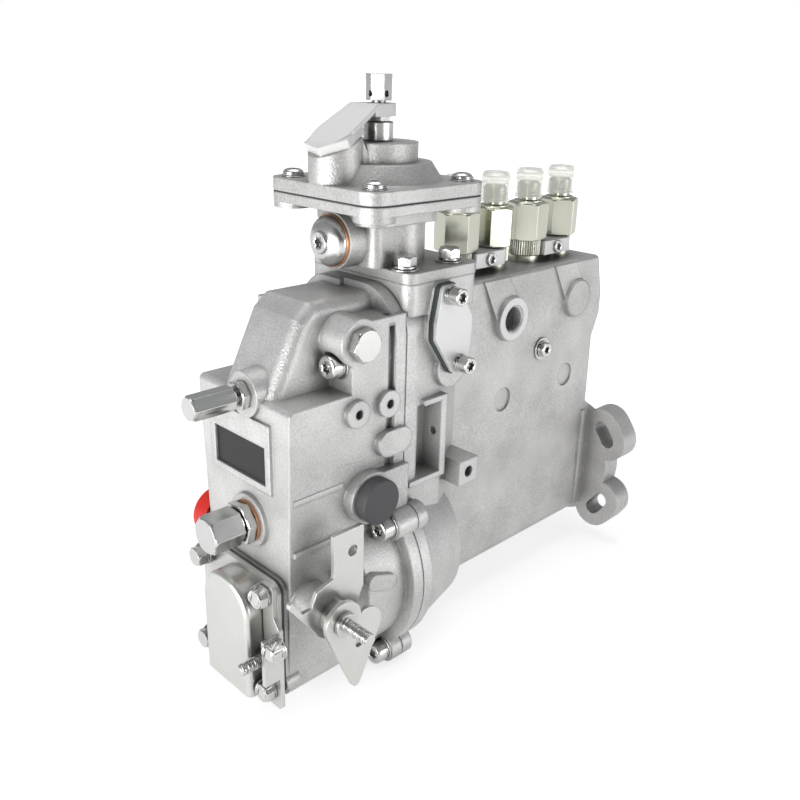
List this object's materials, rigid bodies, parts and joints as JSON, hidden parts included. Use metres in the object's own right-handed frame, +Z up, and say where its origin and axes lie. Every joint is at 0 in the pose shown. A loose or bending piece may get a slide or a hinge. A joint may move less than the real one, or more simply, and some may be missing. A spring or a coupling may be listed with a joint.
{
  "type": "in-line fuel injection pump",
  "caption": "In-line diesel fuel injection pump with a mechanical governor, a boost compensator on top and a slotted drive flange.",
  "frame": {"origin": "on the camshaft axis, in the face of the drive flange that meets the engine", "axes": "+X along the camshaft out of the drive end, +Z up along the plungers, -Y towards the control lever side"},
  "size_m": [0.3585, 0.1354, 0.3121],
  "materials": {
    "cast_housing": "blasted casting",
    "cast_cover": "blasted casting",
    "gasket": "matt",
    "bright_steel": "bright zinc",
    "copper": "dull copper",
    "name_plate": "satin black",
    "zinc_sheet": "pale zinc",
    "seal_sheet": "matt zinc",
    "yellow_zinc": "yellow zinc",
    "red_plastic": "semi-gloss",
    "clear_plastic": "milky",
    "dark_rubber": "matt",
    "inner_steel": "ground"
  },
  "bodies": {
    "pump": {"pump_housing": "cast_housing", "governor_housing": "cast_housing", "governor_cover": "cast_cover", "compensator_body": "cast_cover", "compensator_cover": "cast_cover", "joint_gaskets": "gasket", "end_cover_gasket": "gasket", "governor_cover_screws": "bright_steel", "idle_stop_screw": "bright_steel", "full_load_stop_screw": "bright_steel", "stop_screw_jam_nuts": "bright_steel", "end_cover_bolts": "bright_steel", "compensator_cover_screws": "bright_steel", "compensator_mount_bolts": "bright_steel", "compensator_plug": "bright_steel", "adjuster_collar": "bright_steel", "adjuster_lock_nut": "bright_steel", "adjuster_pin": "bright_steel", "holder_clamps": "bright_steel", "holder_clamp_screws": "bright_steel", "side_cover": "bright_steel", "side_cover_screws": "bright_steel", "bleed_screw": "bright_steel", "side_plug": "bright_steel", "copper_washers": "copper", "data_plate": "name_plate", "end_cover": "zinc_sheet", "cable_bracket": "zinc_sheet", "seal_plate": "seal_sheet", "delivery_valve_holders": "yellow_zinc", "transit_cap": "red_plastic", "dust_caps": "clear_plastic", "rubber_plug": "dark_rubber", "oil_seal": "dark_rubber", "compensator_diaphragm": "dark_rubber", "camshaft_bearings": "inner_steel", "plunger_barrels": "inner_steel", "delivery_valves": "inner_steel"},
    "camshaft": {"camshaft": "inner_steel", "drive_key": "inner_steel", "drive_nut": "inner_steel", "governor_hub": "inner_steel"},
    "flyweight_upper": {"flyweight_upper": "inner_steel"},
    "flyweight_lower": {"flyweight_lower": "inner_steel"},
    "governor_sleeve": {"governor_sleeve": "inner_steel"},
    "control_rack": {"control_rack": "inner_steel"},
    "compensator_rod": {"compensator_rod": "inner_steel", "compensator_spring": "inner_steel"},
    "control_lever": {"lever_shaft": "yellow_zinc", "throttle_lever": "zinc_sheet", "fan_lever": "zinc_sheet"},
    "tappet_1": {"roller_tappet_1": "inner_steel", "plunger_spring_1": "inner_steel"},
    "tappet_2": {"roller_tappet_2": "inner_steel", "plunger_spring_2": "inner_steel"},
    "tappet_3": {"roller_tappet_3": "inner_steel", "plunger_spring_3": "inner_steel"},
    "tappet_4": {"roller_tappet_4": "inner_steel", "plunger_spring_4": "inner_steel"}
  },
  "joints": [
    {"name": "camshaft_spin", "type": "hinge", "parent": "pump", "child": "camshaft", "pos_m": [0, 0, 0], "axis": [1, 0, 0], "continuous": true},
    {"name": "flyweight_upper_swing", "type": "hinge", "parent": "camshaft", "child": "flyweight_upper", "pos_m": [-0.184, 0, 0.016], "axis": [0, 1, 0], "range_deg": [0, 12]},
    {"name": "flyweight_lower_swing", "type": "hinge", "parent": "camshaft", "child": "flyweight_lower", "pos_m": [-0.184, 0, -0.016], "axis": [0, -1, 0], "range_deg": [0, 12]},
    {"name": "sleeve_slide", "type": "slide", "parent": "camshaft", "child": "governor_sleeve", "axis": [-1, 0, 0], "range_m": [0, 0.006]},
    {"name": "rack_slide", "type": "slide", "parent": "pump", "child": "control_rack", "axis": [1, 0, 0], "range_m": [0, 0.01]},
    {"name": "compensator_rod_slide", "type": "slide", "parent": "pump", "child": "compensator_rod", "axis": [0, 0, 1], "range_m": [-0.003, 0], "deforming": ["compensator_spring"]},
    {"name": "control_lever_turn", "type": "hinge", "parent": "pump", "child": "control_lever", "pos_m": [-0.274, 0, 0.011], "axis": [0, -1, 0], "range_deg": [-8, 30]},
    {"name": "tappet_1_lift", "type": "slide", "parent": "pump", "child": "tappet_1", "axis": [0, 0, 1], "range_m": [-0.0067, 0], "deforming": ["plunger_spring_1"]},
    {"name": "tappet_2_lift", "type": "slide", "parent": "pump", "child": "tappet_2", "axis": [0, 0, 1], "range_m": [-0.0067, 0], "deforming": ["plunger_spring_2"]},
    {"name": "tappet_3_lift", "type": "slide", "parent": "pump", "child": "tappet_3", "axis": [0, 0, 1], "range_m": [-0.0067, 0], "deforming": ["plunger_spring_3"]},
    {"name": "tappet_4_lift", "type": "slide", "parent": "pump", "child": "tappet_4", "axis": [0, 0, 1], "range_m": [-0.0067, 0], "deforming": ["plunger_spring_4"]}
  ],
  "couplings": [
    {"joint": "flyweight_upper_swing", "follows": "sleeve_slide", "rad_per_m": 34.9},
    {"joint": "flyweight_lower_swing", "follows": "sleeve_slide", "rad_per_m": 34.9}
  ]
}
